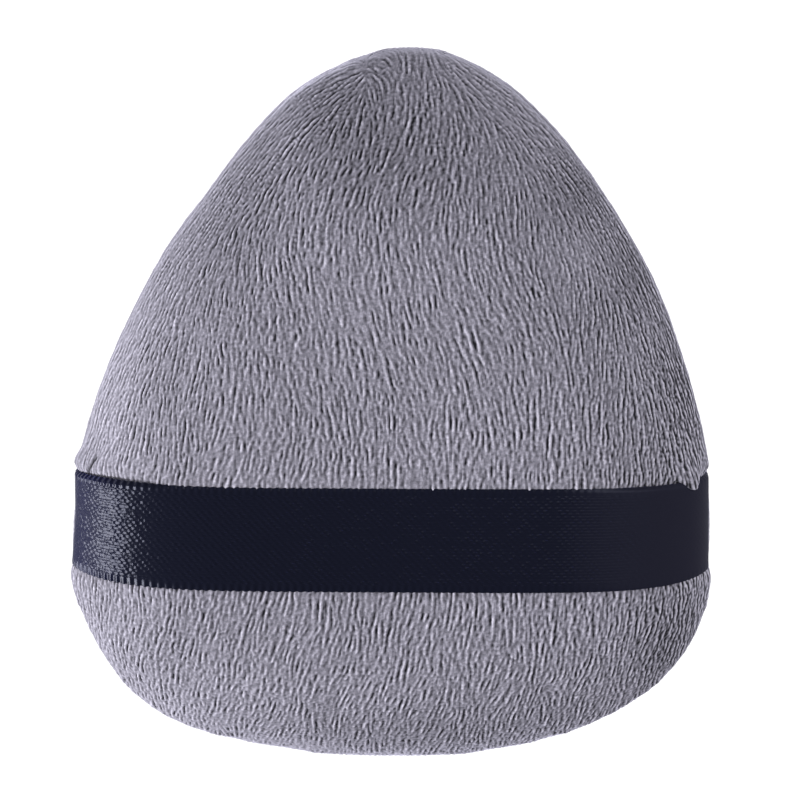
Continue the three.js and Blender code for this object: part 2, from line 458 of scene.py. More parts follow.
# %% Sculpt the cover
SEAM_DRAW = 0.8 * MM
SEAM_GROOVE = 1.2 * MM
TIP_START = 32 * MM
TIP_EASE = 7 * MM
RIBBON_Y = STRAP_Y - 0.13 * MM
BED_DEPTH = 0.3 * MM
BED_EASE = 1.2 * MM
BED_SHARE = {"above": 0.38, "below": 0.75}
BED_START = 1.6 * MM
WALL_PRESS = 0.35 * MM
SIDE_PULL = 0.5 * MM
FRONT_EASE = 2.5 * MM
FRONT_START = 0.3
PULL_START = 1.2
FULLNESS_POWER = 4
WALL_POWER = 8
PULL_EASE = {"above": 0.6 * MM, "below": 2.2 * MM}
CORNER_DROP = {"left": 1.1 * MM, "right": 0.7 * MM}
CORNER_POWER = 12
FULLNESS = [
    {"at": -126, "spread": 11, "out": 0.82},
    {"at": 107, "spread": 6, "out": 0.5},
    {"at": 130, "spread": 8, "out": -0.45},
    {"at": 26, "spread": 16, "out": 0.65},
    {"at": 0, "spread": 12, "out": 0.2},
    {"at": -39, "spread": 10, "out": 0.4},
    {"at": -90, "spread": 24, "out": 0.25},
    {"at": -153, "spread": 6, "out": 0.4},
]
FRONT_BULGES = [
    {"at": -176.5, "spread": 2.5, "out": -0.45},
    {"at": -170.4, "spread": 1.6, "out": 0.8},
]


def smooth_step(t):
    """Eases from 0 to 1 as t goes from 0 to 1."""
    t = np.clip(t, 0, 1)
    return t * t * (3 - 2 * t)


def eased(value, start, end):
    """Eases from 0 to 1 as a value goes from start to end."""
    return smooth_step((value - start) / (end - start))


def at_wall(x, power):
    """0 over the middle, rising to 1 at the puff's sides, the more steeply the higher the power."""
    return (np.abs(x) / HALF_WIDTH) ** power


def at_tip(spots):
    """0 over most of the drop, rising to 1 at its tip."""
    return smooth_step((spots[:, 1] - TIP_START) / TIP_EASE)


def normals_of(obj):
    """The normals of the object's vertices as an array."""
    return np.array([v.normal for v in obj.data.vertices])


def swell(bulges, towards):
    """How far the bulges push the edge out, in the given directions in degrees."""
    return MM * sum(b["out"] * np.exp(-(((towards - b["at"]) / b["spread"]) ** 2)) for b in bulges)


def seam_draw(spots):
    """How far the seam draws places inwards: along a quarter round, and not at all at the tip."""
    near = np.clip(1 - np.abs(spots[:, 2] - SEAM_Z) / SEAM_GROOVE, 0, 1)
    return SEAM_DRAW * (1 - np.sqrt(1 - near**2)) * (1 - at_tip(spots))


def corner_drop(x):
    """How far the ribbon's upper edge hangs lower towards its ends."""
    most = np.where(x < 0, CORNER_DROP["left"], CORNER_DROP["right"])
    return most * at_wall(x, CORNER_POWER)


co = points_of(cover)
towards = np.degrees(np.arctan2(co[:, 1], co[:, 0]))
on_front = smooth_step((co[:, 2] - SEAM_Z) / FRONT_EASE + FRONT_START)
fuller = swell(FULLNESS, towards) + on_front * swell(FRONT_BULGES, towards)
edge_share = np.hypot(co[:, 0], co[:, 1]) / reach(co[:, 0], co[:, 1])
co[:, :2] *= (1 + fuller * edge_share**FULLNESS_POWER / HALF_LENGTH)[:, None]
co[:, :2] *= (1 - seam_draw(co) / np.maximum(reach(co[:, 0], co[:, 1]), MM))[:, None]
co[:, 2] = np.maximum(co[:, 2], PILE_HEIGHT)
off_strap = np.abs(co[:, 1] - RIBBON_Y) - STRAP_WIDTH / 2
off_strap += np.where(co[:, 1] > RIBBON_Y, corner_drop(co[:, 0]), 0)
bed_share, pull_ease = [
    np.where(co[:, 1] > RIBBON_Y, value["above"], value["below"]) for value in (BED_SHARE, PULL_EASE)
]
pull = SIDE_PULL * smooth_step(1 - off_strap / pull_ease) * at_wall(co[:, 0], WALL_POWER)
pull *= smooth_step((co[:, 2] - SEAM_Z) / FRONT_EASE + PULL_START)
co[:, 0] -= np.sign(co[:, 0]) * pull
bed = smooth_step(bed_share - off_strap / BED_EASE) * smooth_step((co[:, 2] - SEAM_Z) / BED_START)
bed *= BED_DEPTH + WALL_PRESS * at_wall(co[:, 0], WALL_POWER)
co -= bed[:, None] * normals_of(cover)
move_points(cover, co)
print(f"ribbon's bed is up to {bed.max() / MM:.2f} mm deep")

# %% Cut the panels
def copy_of(obj, name):
    """A copy of an object with its own mesh, selected alone."""
    only(obj)
    bpy.ops.object.duplicate()
    bpy.context.object.name = name
    return bpy.context.object


def cut_panel(name, keep_above):
    """One half of the cover as a cloth panel."""
    panel = copy_of(cover, name)
    bpy.ops.object.mode_set(mode="EDIT")
    bpy.ops.mesh.select_all(action="SELECT")
    bpy.ops.mesh.bisect(
        plane_co=(0, 0, SEAM_Z), plane_no=(0, 0, 1), clear_inner=keep_above, clear_outer=not keep_above
    )
    bpy.ops.object.mode_set(mode="OBJECT")
    return panel


front = cut_panel("front_panel", True)
back = cut_panel("back_panel", False)
bpy.data.objects.remove(cover)
bpy.data.objects.remove(outline)
print("panels:", len(front.data.polygons), "and", len(back.data.polygons), "faces")

# %% [markdown]
# ## Which way the pile lies
# Plush is brushed, so its pile leans. A crown near the tip sends it out to all sides, as hair does,
# and on its right the pile also falls. Along the upper edges it follows the outline, and on the flat
# it runs down the drop in slow bends, as a hand left it. Each of these is a direction in the plane,
# and weights blend them into one.

# %% Work out the nap
CROWN_SPOT = Vector((-3.0 * MM, 40.2 * MM))
CROWN_RANGE = 4.0 * MM
EDGE_FULL = 0.5 * MM
EDGE_FADE = 10 * MM
EDGE_LOWEST = -12 * MM
UPRIGHT_RUN = 0.6
BENDS = [
    {"x": 2, "y": 31, "wide": 30, "tall": 7, "turn": -18},
    {"x": 3, "y": 12, "wide": 20, "tall": 11, "turn": 14},
    {"x": -22, "y": -3, "wide": 10, "tall": 8, "turn": -15},
    {"x": 25, "y": 15, "wide": 7, "tall": 9, "turn": -20},
    {"x": 11, "y": 33, "wide": 7, "tall": 8, "turn": 15},
    {"x": 15, "y": 15, "wide": 8, "tall": 8, "turn": 14},
    {"x": -30, "y": 2, "wide": 5, "tall": 8, "turn": 14},
    {"x": -14, "y": -30, "wide": 26, "tall": 14, "turn": -16},
]
WAVE_LENGTH = 11 * MM
SMALL_WAVE = {"length": 4.4 * MM, "share": 0.5}
WAVE_TURN = math.radians(5)
WAVE_COUNT = 7
WAVE_RANGE = (0.7, 1.6)

edge_runs = np.gradient(edge_points[edge_order, :2], axis=0)
edge_runs /= np.linalg.norm(edge_runs, axis=1, keepdims=True)


def wave(x, y, length, seed):
    """A smooth random wave over the plane, between about -1 and 1, the same at every run."""
    rng = np.random.default_rng(seed)
    total = np.zeros_like(x)
    for _ in range(WAVE_COUNT):
        a = rng.uniform(0, 2 * math.pi)
        k = 2 * math.pi / (length * rng.uniform(*WAVE_RANGE))
        total += np.sin(k * (x * math.cos(a) + y * math.sin(a)) + rng.uniform(0, 2 * math.pi))
    return total / math.sqrt(WAVE_COUNT)


def along_edge(x, y):
    """The outline's direction nearest to a place, pointing away from the crown."""
    a = np.arctan2(y, x)
    run = np.stack([np.interp(a, edge_angles, edge_runs[:, i], period=2 * math.pi) for i in (0, 1)], 1)
    return np.where(x < CROWN_SPOT.x, 1, -1)[:, None] * run


def room_beside(x, y):
    """How far a place lies from the nearer side of the outline, straight across."""
    by_height = edge_points[np.argsort(edge_points[:, 1])]
    sides = [by_height[by_height[:, 0] < 0], by_height[by_height[:, 0] > 0]]
    left, right = [np.interp(y, side[:, 1], side[:, 0]) for side in sides]
    return np.minimum(x - left, right - x)


def spot_weight(x, y, spot):
    """1 at the middle of an oval spot, which is given in mm, fading to 0 round it."""
    off_x = (x / MM - spot["x"]) / spot["wide"]
    off_y = (y / MM - spot["y"]) / spot["tall"]
    return np.exp(-(off_x**2) - off_y**2)


def nap_in_plane(x, y, seed):
    """The pile's direction seen from above, one row of two components for each place."""
    turn = sum(math.radians(bend["turn"]) * spot_weight(x, y, bend) for bend in BENDS)
    small = SMALL_WAVE["share"] * wave(x, y, SMALL_WAVE["length"], seed + 1)
    turn += WAVE_TURN * (wave(x, y, WAVE_LENGTH, seed) + small)
    flow = np.stack((np.sin(turn), -np.cos(turn)), 1)
    run = along_edge(x, y)
    edge = smooth_step(1 - (room_beside(x, y) - EDGE_FULL) / EDGE_FADE)
    edge *= smooth_step((y - EDGE_LOWEST) / EDGE_FADE) * smooth_step(np.abs(run[:, 1]) / UPRIGHT_RUN)
    flow += edge[:, None] * (run - flow)
    away = np.stack((x, y), 1) - np.array(CROWN_SPOT)
    away[:, 1] -= np.maximum(away[:, 0], 0)
    far = np.maximum(np.linalg.norm(away, axis=1, keepdims=True), NEARLY_ZERO)
    flow += np.exp(-((far / CROWN_RANGE) ** 2)) * (away / far - flow)
    return flow / np.maximum(np.linalg.norm(flow, axis=1, keepdims=True), NEARLY_ZERO)


print(f"nap of {len(BENDS)} bends, crown at {CROWN_SPOT.x / MM:.1f}, {CROWN_SPOT.y / MM:.1f} mm")

# %% [markdown]
# ## Strokes in the pile
# Short plush never shows its fibres one by one, only the strokes that brushing left: ridges where the
# pile stands and furrows where it parts. A trick called line integral convolution draws them. Think
# of the cloth as laid flat, with its walls folded outwards. It is covered with random grain as wide as
# a stroke, and the grain is then averaged along the nap, which draws each grain out into a stroke.
# Long strokes and short ones are mixed.

# %% Draw the strokes
CELL = 0.1 * MM
FLAT_CELLS = 1080
LAST_CELL = FLAT_CELLS - 1.001
LAST_SHARE = 0.995
SHARE_STEPS = 200
FOLD_OUT = 0.75
SEAM_FOLD = 2
STROKE_PERIOD = 0.64 * MM
STROKE_SPREAD = 0.55
STROKE_SEEDS = (11, 23)
STROKES = [{"length": 2.6 * MM, "share": 0.62}, {"length": 0.75 * MM, "share": 0.7}]


def lay_flat(spots, crest):
    """Where places on a panel come to lie when its walls are folded out; crest is the panel's far z."""
    from_middle = np.maximum(np.hypot(spots[:, 0], spots[:, 1]), MM)
    fold = FOLD_OUT * np.abs(spots[:, 2] - crest) + SEAM_FOLD * seam_draw(spots)
    return spots[:, :2] * (1 + fold / from_middle)[:, None]


def flat_nap(seed):
    """The nap at every cell of the flat cloth."""
    axis = (np.arange(FLAT_CELLS) - FLAT_CELLS / 2) * CELL
    flat_x, flat_y = np.meshgrid(axis, axis)
    edge = reach(flat_x, flat_y)
    share = np.linspace(0, LAST_SHARE, SHARE_STEPS)
    drop = (FRONT_RISE - EDGE_TURN) * (1 - (1 - share**CROWN_POWER) ** (1 / SHOULDER_POWER))
    folded = share + FOLD_OUT * drop / HALF_WIDTH
    flat_reach = np.maximum(np.hypot(flat_x, flat_y), CELL)
    shrink = np.interp(flat_reach / edge, folded, share) * edge / flat_reach
    return nap_in_plane((flat_x * shrink).ravel(), (flat_y * shrink).ravel(), seed).reshape(*edge.shape, 2)


def grain(seed):
    """Random noise over the flat cloth, kept only near the strokes' own period."""
    noise = np.random.default_rng(seed).standard_normal((FLAT_CELLS, FLAT_CELLS))
    steps = np.fft.fftfreq(FLAT_CELLS, CELL)
    periods = np.hypot(steps[:, None], steps[None, :]) * STROKE_PERIOD
    kept = np.exp(-(((periods - 1) / STROKE_SPREAD) ** 2))
    return np.fft.ifft2(np.fft.fft2(noise) * kept).real


def draw_out(noise, nap, length):
    """The noise averaged along the nap, both ways, with a spread of one."""
    last = FLAT_CELLS - 1
    start = np.indices(noise.shape).astype(float)
    total = noise.copy()
    for way in (1, -1):
        row, column = start.copy()
        for _ in range(round(length / 2 / CELL)):
            here = (row.round().astype(int), column.round().astype(int))
            row = np.clip(row + way * nap[here][..., 1], 0, last)
            column = np.clip(column + way * nap[here][..., 0], 0, last)
            total += noise[row.round().astype(int), column.round().astype(int)]
    return total / total.std()


def read_strokes(strokes, flat):
    """The strokes' height at places on the flat cloth, blended between cells."""
    place = np.clip(flat / CELL + FLAT_CELLS / 2, 0, LAST_CELL)
    column, row = place.astype(int).T
    right, up = (place - place.astype(int)).T
    low = strokes[row, column] * (1 - right) + strokes[row, column + 1] * right
    high = strokes[row + 1, column] * (1 - right) + strokes[row + 1, column + 1] * right
    return low * (1 - up) + high * up


def mixed_strokes(seed):
    """Long and short strokes together, over the flat cloth."""
    nap = flat_nap(seed)
    return sum(
        kind["share"] * draw_out(grain(seed + number), nap, kind["length"])
        for number, kind in enumerate(STROKES)
    )


front_strokes, back_strokes = [mixed_strokes(seed) for seed in STROKE_SEEDS]
print("strokes drawn on", front_strokes.shape, "cells")

# %% [markdown]
# ## Raising the pile
# Each panel is copied and subdivided until its faces are much smaller than a stroke. Every vertex
# then moves out along its normal, by the pile's height and its stroke. The pile lies flatter on the
# walls, is pressed under the ribbon and runs out into the seam, which it hides only at the tip.
# Beside the ribbon's upper edge there is a small crease on the left, painted dark as painted shade,
# and on the right a lobe of pile that hangs over the edge. Some patches are painted darker or lighter,
# as painted shade and painted light. The layer has too many faces for one piece, so it is cut into
# bands. Each band keeps the normals of the whole, which hides the cuts.

# %% Say how the pile stands
WALL_LAY = 0.3
FLAT_FROM = 0.25
FLAT_FULL = 0.85
PRESSED = 0.3
TUCK_RANGE = 2.6 * MM
TUCK_LAY = 0.6
CREASE = {"start": (-39.9, -7.4), "end": (-38.3, -5.4), "wide": 0.2}
LOBE_X = 33.5 * MM
LOBE_WIDE = 1.1 * MM
LOBE_TALL = 1.6 * MM
LOBE_EASE = 0.5 * MM
LOBE_START = 0.3


def pile_lay(spots, normals, under_strap):
    """How high the pile stands at each place, from 0 to 1."""
    lay = WALL_LAY + (1 - WALL_LAY) * eased(np.abs(normals[:, 2]), FLAT_FROM, FLAT_FULL)
    above = spots[:, 1] - (RIBBON_Y + STRAP_WIDTH / 2)
    below = (RIBBON_Y - STRAP_WIDTH / 2) - spots[:, 1]
    tucked = TUCK_LAY + (1 - TUCK_LAY) * smooth_step(above / TUCK_RANGE)
    if under_strap:
        lay = lay * np.where(above > 0, tucked, np.where(below > 0, 1.0, PRESSED))
    return lay


def mark_weight(flat, start, end, wide):
    """1 on a short line on the flat cloth, given in mm, fading to 0 beside it."""
    start, end = np.array(start) * MM, np.array(end) * MM
    run = end - start
    share = np.clip(((flat - start) @ run) / (run @ run), 0, 1)
    off = np.linalg.norm(flat - start - share[:, None] * run, axis=1)
    return np.exp(-((off / (wide * MM)) ** 2))


def lobe_weight(spots):
    """1 just above the ribbon's edge at the lobe, fading upwards and to both sides."""
    above = spots[:, 1] - (RIBBON_Y + STRAP_WIDTH / 2)
    beside = np.exp(-(((spots[:, 0] - LOBE_X) / LOBE_WIDE) ** 2))
    upwards = np.exp(-((np.maximum(above, 0) / LOBE_TALL) ** 2))
    return beside * upwards * smooth_step(above / LOBE_EASE + LOBE_START)


print(f"pile stands from {WALL_LAY} of its height on the walls to all of it on the flat")

# %% Raise the pile
PILE_LEVELS = 2
STROKE_HEIGHT = 0.078 * MM
MOST_STROKE = 2.4
TONE_GAIN = 1.3
TONE_POWER = 0.25
SEAM_RUN = {"front": 0.3 * MM, "back": 0.8 * MM, "strap": 2.2 * MM}
SEAM_CALM = 2.0 * MM
CALM_LEAST = 0.4
CREASE_DEPTH = 0.25 * MM
LOBE_SLIDE = 1.5 * MM
LOBE_LIFT = 1.3 * MM
# Painted shade and painted light: oval patches that shift the pile's tone darker or lighter.
LIGHT_AND_SHADE_PATCHES = [
    {"x": -4, "y": 32, "wide": 10, "tall": 7, "shift": -0.65},
    {"x": -18, "y": 24, "wide": 6, "tall": 12, "shift": -0.6},
    {"x": -9, "y": 40, "wide": 6, "tall": 5, "shift": -0.6},
    {"x": 34, "y": 7, "wide": 4, "tall": 9, "shift": -0.55},
    {"x": 27, "y": 7, "wide": 4, "tall": 12, "shift": 0.1},
    {"x": 32, "y": -27, "wide": 4, "tall": 5, "shift": -0.35},
    {"x": 25, "y": -29, "wide": 4, "tall": 7, "shift": 0.16},
    {"x": 22, "y": 28, "wide": 5, "tall": 4.5, "shift": -0.6},
    {"x": 28, "y": 20, "wide": 4, "tall": 7, "shift": -0.6},
    {"x": 20, "y": 20, "wide": 4, "tall": 4, "shift": 0.2},
    {"x": 4, "y": -39, "wide": 22, "tall": 5, "shift": -0.6},
    {"x": -25, "y": 3, "wide": 4, "tall": 14, "shift": -0.25},
    {"x": -25, "y": -27, "wide": 4, "tall": 6, "shift": -0.25},
    {"x": -31.5, "y": 6, "wide": 3, "tall": 14, "shift": 0.35},
    {"x": -26, "y": -36, "wide": 4, "tall": 4, "shift": 0.3},
]
# Painted shade and painted light: the strokes' dark and light tone is made stronger towards the right
# side, most at its rim.
RIGHT_GAIN = 0.25
RIM_GAIN = 1.3
RIM_POWER = 6


def store(mesh, name, kind, domain, field, values):
    """Writes an attribute on a mesh."""
    layer = mesh.attributes.new(name, kind, domain)
    layer.data.foreach_set(field, np.ascontiguousarray(values).ravel())


def raise_pile(panel, name, strokes, crest, under_strap):
    """A fine copy of a panel, raised into brushed pile."""
    pile = copy_of(panel, name)
    refine(pile, PILE_LEVELS)
    spots = points_of(pile)
    normals = normals_of(pile)
    flat = lay_flat(spots, crest)
    stroke = np.clip(read_strokes(strokes, flat), -MOST_STROKE, MOST_STROKE)
    lay = pile_lay(spots, normals, under_strap)
    off_seam = np.abs(spots[:, 2] - SEAM_Z)
    seam_run = SEAM_RUN["back"]
    if under_strap:
        beside_strap = np.abs(spots[:, 1] - RIBBON_Y) > STRAP_WIDTH / 2
        seam_run = np.where(beside_strap, SEAM_RUN["front"], SEAM_RUN["strap"])
    run_out = smooth_step(off_seam / seam_run)
    run_out = np.maximum(run_out, at_tip(spots))
    lift = PILE_HEIGHT + lay * STROKE_HEIGHT * stroke
    if under_strap:
        crease = mark_weight(flat, **CREASE)
        lobe = lobe_weight(spots)
        lift += LOBE_LIFT * lobe - CREASE_DEPTH * crease
        x, y = spots[:, 0], spots[:, 1]
        # painted shade and painted light from the patches
        stroke += sum(patch["shift"] * spot_weight(x, y, patch) for patch in LIGHT_AND_SHADE_PATCHES)
        # The crease is painted as dark as the deepest furrow: painted shade in the crease.
        stroke = stroke * (1 - crease) - MOST_STROKE * crease
        spots[:, 1] -= LOBE_SLIDE * lobe
    lift *= run_out
    move_points(pile, spots + normals * lift[:, None])
    rightwards = smooth_step(spots[:, 0] / HALF_WIDTH)
    gain = 1 + RIGHT_GAIN * rightwards + RIM_GAIN * rightwards**RIM_POWER
    gain *= TONE_GAIN * lay ** (TONE_POWER * (1 - rightwards))
    calm = CALM_LEAST + (1 - CALM_LEAST) * smooth_step(off_seam / SEAM_CALM)
    tone = 0.5 + gain * calm * stroke / (2 * MOST_STROKE)
    store(pile.data, "stroke", "FLOAT", "POINT", "value", tone)
    store(pile.data, "flat", "FLOAT_VECTOR", "POINT", "vector", np.column_stack((flat, lay)))
    store(pile.data, "whole", "FLOAT_VECTOR", "POINT", "vector", normals_of(pile))
    return pile


front_layer = raise_pile(front, "front_pile", front_strokes, TOP_Z, True)
back_layer = raise_pile(back, "back_pile", back_strokes, 0.0, False)
print("pile of", len(front_layer.data.vertices), "and", len(back_layer.data.vertices), "vertices")

# %% Cut the pile into bands
BEYOND = 1.0
BANDS = {"tip": 14 * MM, "middle": -6 * MM, "strap": -22 * MM, "base": -BEYOND}


def cut_band(pile, name, low, high):
    """The part of the pile between two heights along the drop, with a map of its own."""
    band = copy_of(pile, name)
    mesh = band.data
    middles = np.empty(len(mesh.polygons) * 3)
    mesh.polygons.foreach_get("center", middles)
    middles = middles.reshape(-1, 3)[:, 1]
    outside = (middles < low) | (middles >= high)
    bpy.ops.object.mode_set(mode="EDIT")
    bpy.ops.mesh.select_mode(type="FACE")
    bpy.ops.mesh.select_all(action="DESELECT")
    bpy.ops.object.mode_set(mode="OBJECT")
    mesh.polygons.foreach_set("select", outside)
    bpy.ops.object.mode_set(mode="EDIT")
    bpy.ops.mesh.delete(type="FACE")
    bpy.ops.object.mode_set(mode="OBJECT")
    finish_band(band)
    return band


def finish_band(band):
    """Gives a band smooth shading with the whole layer's normals, and its own flat map."""
    mesh = band.data
    only(band)
    bpy.ops.object.shade_smooth()
    whole, flat = np.empty((2, len(mesh.vertices), 3))
    mesh.attributes["whole"].data.foreach_get("vector", whole.ravel())
    mesh.attributes["flat"].data.foreach_get("vector", flat.ravel())
    corners = np.empty(len(mesh.loops), dtype=np.int32)
    mesh.loops.foreach_get("vertex_index", corners)
    low, high = flat[:, :2].min(axis=0), flat[:, :2].max(axis=0)
    for layer in list(mesh.uv_layers):
        mesh.uv_layers.remove(layer)
    flat_map = mesh.uv_layers.new(name="OFBake")
    flat_map.data.foreach_set("uv", ((flat[:, :2] - low) / (high - low))[corners].ravel())
    for layer in ("whole", "flat"):
        mesh.attributes.remove(mesh.attributes[layer])
    mesh.normals_split_custom_set_from_vertices(whole.tolist())


def cut_bands(pile):
    """The pile of one panel as bands, named after it, in place of the whole."""
    cut = []
    high = BEYOND
    for band_name, low in BANDS.items():
        cut.append(cut_band(pile, f"{pile.name}_{band_name}", low, high))
        print(f"{cut[-1].name}: {len(cut[-1].data.polygons)} faces")
        high = low
    bpy.data.objects.remove(pile)
    return cut


front_pile = cut_bands(front_layer)
back_pile = cut_bands(back_layer)

# %% [markdown]
# ## The panels' thickness
# The knitted ground under the pile is a thin cloth. Solidify gives it an inner face, so that each
# panel is a closed shell and not a surface with no back.

# %% Thicken the panels
CLOTH_THICKNESS = 0.9 * MM


def thicken(sheet, thickness):
    """Gives a sheet its cloth thickness on the inside."""
    only(sheet)
    wall = sheet.modifiers.new("cloth", "SOLIDIFY")
    wall.thickness = thickness
    wall.offset = -1
    bpy.ops.object.modifier_apply(modifier=wall.name)
    bpy.ops.object.shade_smooth()


for panel, node in ((front, "front_velour"), (back, "back_velour")):
    thicken(panel, CLOTH_THICKNESS)
    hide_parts(node)
print("panels thickened to", CLOTH_THICKNESS / MM, "mm")

# %% [markdown]
# ## The ribbon
# The strap is a length of satin ribbon laid straight across the puff and sewn into the seam at both
# ends. It is cut flat here, as a fine grid of its real length, and then wrapped: each point keeps
# its distance along the ribbon, measured on the path over the crown and down the sides. The path
# follows the tops of the pile. The woven edges carry small loops of weft, almost a millimetre apart,
# so the outermost points are pushed out and in by turns. Where the ribbon turns down, its upper edge
# sinks into the pile.

# %% Lay the ribbon's path
STRAP_TAIL = 5.0 * MM
TAIL_BEND = 0.5 * MM
OVER_POINTS = 721
BEND_POINTS = 9
SEARCH_POINTS = 4001
SEARCH_REACH = 1.02 * HALF_WIDTH


def strap_path():
    """Points across the puff, from one end in the seam to the other, in the plane of x and z."""
    a = np.linspace(0, math.pi, OVER_POINTS)
    x = np.linspace(-SEARCH_REACH, SEARCH_REACH, SEARCH_POINTS)
    share = np.hypot(x, STRAP_Y) / reach(x, np.full_like(x, STRAP_Y))
    inside = x[share <= 1]
    left, right = inside[0], inside[-1]
    swing = np.sign(np.cos(a)) * np.abs(np.cos(a)) ** (2 / CROWN_POWER)
    over = (left + right) / 2 - (right - left) / 2 * swing
    over_z = SEAM_Z + crown_height(over, np.full_like(over, STRAP_Y))
    over_z[[0, -1]] = SEAM_Z + EDGE_TURN
    bend = np.linspace(0, math.pi / 2, BEND_POINTS)
    down_x = np.concatenate(([left + STRAP_TAIL], left + TAIL_BEND * (1 - np.sin(bend))))
    down_z = np.concatenate(([SEAM_Z], SEAM_Z + TAIL_BEND * (1 - np.cos(bend))))
    up_x = np.concatenate(((right - TAIL_BEND * (1 - np.sin(bend)))[::-1], [right - STRAP_TAIL]))
    path_x = np.concatenate((down_x, over, up_x))
    path_z = np.concatenate((down_z, over_z, down_z[::-1]))
    return np.stack((path_x, path_z), 1)


path = strap_path()
lengths = np.concatenate(([0], np.cumsum(np.linalg.norm(np.diff(path, axis=0), axis=1))))
STRAP_LENGTH = lengths[-1]
print(f"ribbon is {STRAP_LENGTH / MM:.1f} mm long")

# %% Cut and wrap the ribbon
STRAP_THICKNESS = 0.35 * MM
PATH_STEP = 0.1 * MM
ALONG_CELLS = 1200
ACROSS_CELLS = 32
LOOP_PITCH = 0.9 * MM
LOOP_REACH = 0.05 * MM
LOOP_BULGE = 0.03 * MM
LOOP_FADE = 0.7
LOOPS_FADING = (-0.5, 0.5)
EDGE_ROLL = 0.03 * MM
END_SINK = 0.4 * MM
SELVEDGE = (0.87, 0.91)
ROLLED = (0.94, 1.0)
SUNK = (0.95, 1.0)
SUNK_ENDS = (0.5, 0.9)
STRAP_PROUD = 0.05 * MM
LEFT_PINCH = (0.25 * MM, 0.75 * MM, 0.8 * MM)
RIGHT_PINCH = (0.65 * MM, 0.8 * MM, 0.95 * MM)
RIGHT_DROP = 0.2 * MM
RIGHT_NARROW = 0.03
RIGHT_END = (0.5, 1.0)
WIDE_SHARE = 1.025


def wrap_ribbon(name):
    """A flat grid, bent over the path and thickened, with looped edges and its own map."""
    bpy.ops.object.select_all(action="DESELECT")
    bpy.ops.mesh.primitive_grid_add(x_subdivisions=ALONG_CELLS, y_subdivisions=ACROSS_CELLS, size=1)
    ribbon = bpy.context.object
    ribbon.name = name
    flat = points_of(ribbon)
    along = (flat[:, 0] + 0.5) * STRAP_LENGTH
    across = np.sin(math.pi * flat[:, 1]) * STRAP_WIDTH / 2 * WIDE_SHARE
    corners = np.array([corner.vertex_index for corner in ribbon.data.loops])
    weave_map = np.stack((flat[:, 0] + 0.5, across / STRAP_WIDTH + 0.5), 1)
    ribbon.data.uv_layers.active.data.foreach_set("uv", weave_map[corners].ravel())
    x = np.interp(along, lengths, path[:, 0])
    z = np.interp(along, lengths, path[:, 1])
    after, before = along + PATH_STEP, along - PATH_STEP
    ahead_x, ahead_z = [
        np.interp(after, lengths, line) - np.interp(before, lengths, line) for line in path.T
    ]
    size = np.maximum(np.hypot(ahead_x, ahead_z), NEARLY_ZERO)
    out_x, out_z = -ahead_z / size, ahead_x / size
    out_share = np.abs(np.sin(math.pi * flat[:, 1]))
    selvedge = eased(out_share, *SELVEDGE)
    rolled = eased(out_share, *ROLLED)
    loops = np.sin(2 * math.pi * along / LOOP_PITCH)
    loops *= 1 - LOOP_FADE * eased(x / HALF_WIDTH, *LOOPS_FADING)
    sunk = eased(out_share, *SUNK) * eased(np.abs(x) / HALF_WIDTH, *SUNK_ENDS) * (across > 0)
    lift = STRAP_PROUD + selvedge * LOOP_BULGE * loops - rolled * EDGE_ROLL - sunk * END_SINK
    side = np.sign(across) * rolled * LOOP_REACH * (1 + loops)
    up_share = 2 * across / STRAP_WIDTH
    left, right = [np.interp(up_share, (-1, 0, 1), pinch) for pinch in (LEFT_PINCH, RIGHT_PINCH)]
    pinch = np.where(x < 0, left, right) * at_wall(x, CORNER_POWER)
    at_right = eased(x / HALF_WIDTH, *RIGHT_END)
    y = RIBBON_Y + across * (1 - RIGHT_NARROW * at_right) + side - RIGHT_DROP * at_right
    y -= corner_drop(x) * smooth_step(up_share)
    x = x - np.sign(x) * pinch
    move_points(ribbon, np.stack((x + out_x * lift, y, z + out_z * lift), 1))
    thicken(ribbon, STRAP_THICKNESS)
    return ribbon


ribbon = wrap_ribbon("satin_strap")
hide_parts("strap_ribbon")
print(f"ribbon: {len(ribbon.data.polygons)} faces, map {ribbon.data.uv_layers.keys()}")

# %% [markdown]
# ## The sponge
# Inside is a drop of soft sponge, cut a little smaller than the cover. It never shows, but the part
# has it, so it is built the same way as the cover, from the outline and the crown, and rounded by
# one subdivision.

# %% Make the sponge
CORE_LOW, CORE_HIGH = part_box("foam_core")

core = stuffed_form("foam_drop", HALF_WIDTH - CORE_HIGH.x, CORE_HIGH.z - SEAM_Z, SEAM_Z - CORE_LOW.z)
refine(core, 1)
bpy.ops.object.shade_smooth()
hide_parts("foam_core")
print(f"sponge: {core.dimensions / MM} mm")

# %% [markdown]
# ## Plush
# The pile is a fine grey-lilac fibre. The furrows look down on the roots, which sit in each other's
# shade, and the ridges show the tips, so the colour follows the strokes. The cloth has a few broad
# lighter and darker clouds, and fine flecks. A sheen lobe gives the soft bloom at the edges.

# %% The pile's material
FURROW = (0.010, 0.0096, 0.0122)
MIDDLE = (0.158, 0.152, 0.186)
RIDGE = (0.38, 0.365, 0.436)
CLOUD = {"size": 9 * MM, "share": 0.2}
FLECK = {"size": 0.25 * MM, "share": 1.2}
LEAST_TONE = 0.29


def maths(tree, operation, first, second=None):
    """A Math node; its inputs are sockets or plain numbers. Returns its output."""
    node = add(tree, "ShaderNodeMath", operation=operation)
    for number, value in enumerate((first, second)):
        if isinstance(value, (int, float)):
            node.inputs[number].default_value = value
        elif value is not None:
            wire(tree, value, node, number)
    return node.outputs[0]


def attribute(tree, name):
    """A stored attribute's value, for a material."""
    return add(tree, "ShaderNodeAttribute", attribute_name=name).outputs["Fac"]


def object_place(tree):
    """The place on the object, in its own coordinates."""
    return add(tree, "ShaderNodeTexCoord").outputs["Object"]


def noise(tree, place, size, detail=2.0):
    """Noise whose features are about size metres across. Returns its value."""
    node = add(tree, "ShaderNodeTexNoise")
    tune(node, {"Scale": 1 / size, "Detail": detail})
    wire(tree, place, node, "Vector")
    return node.outputs["Fac"]


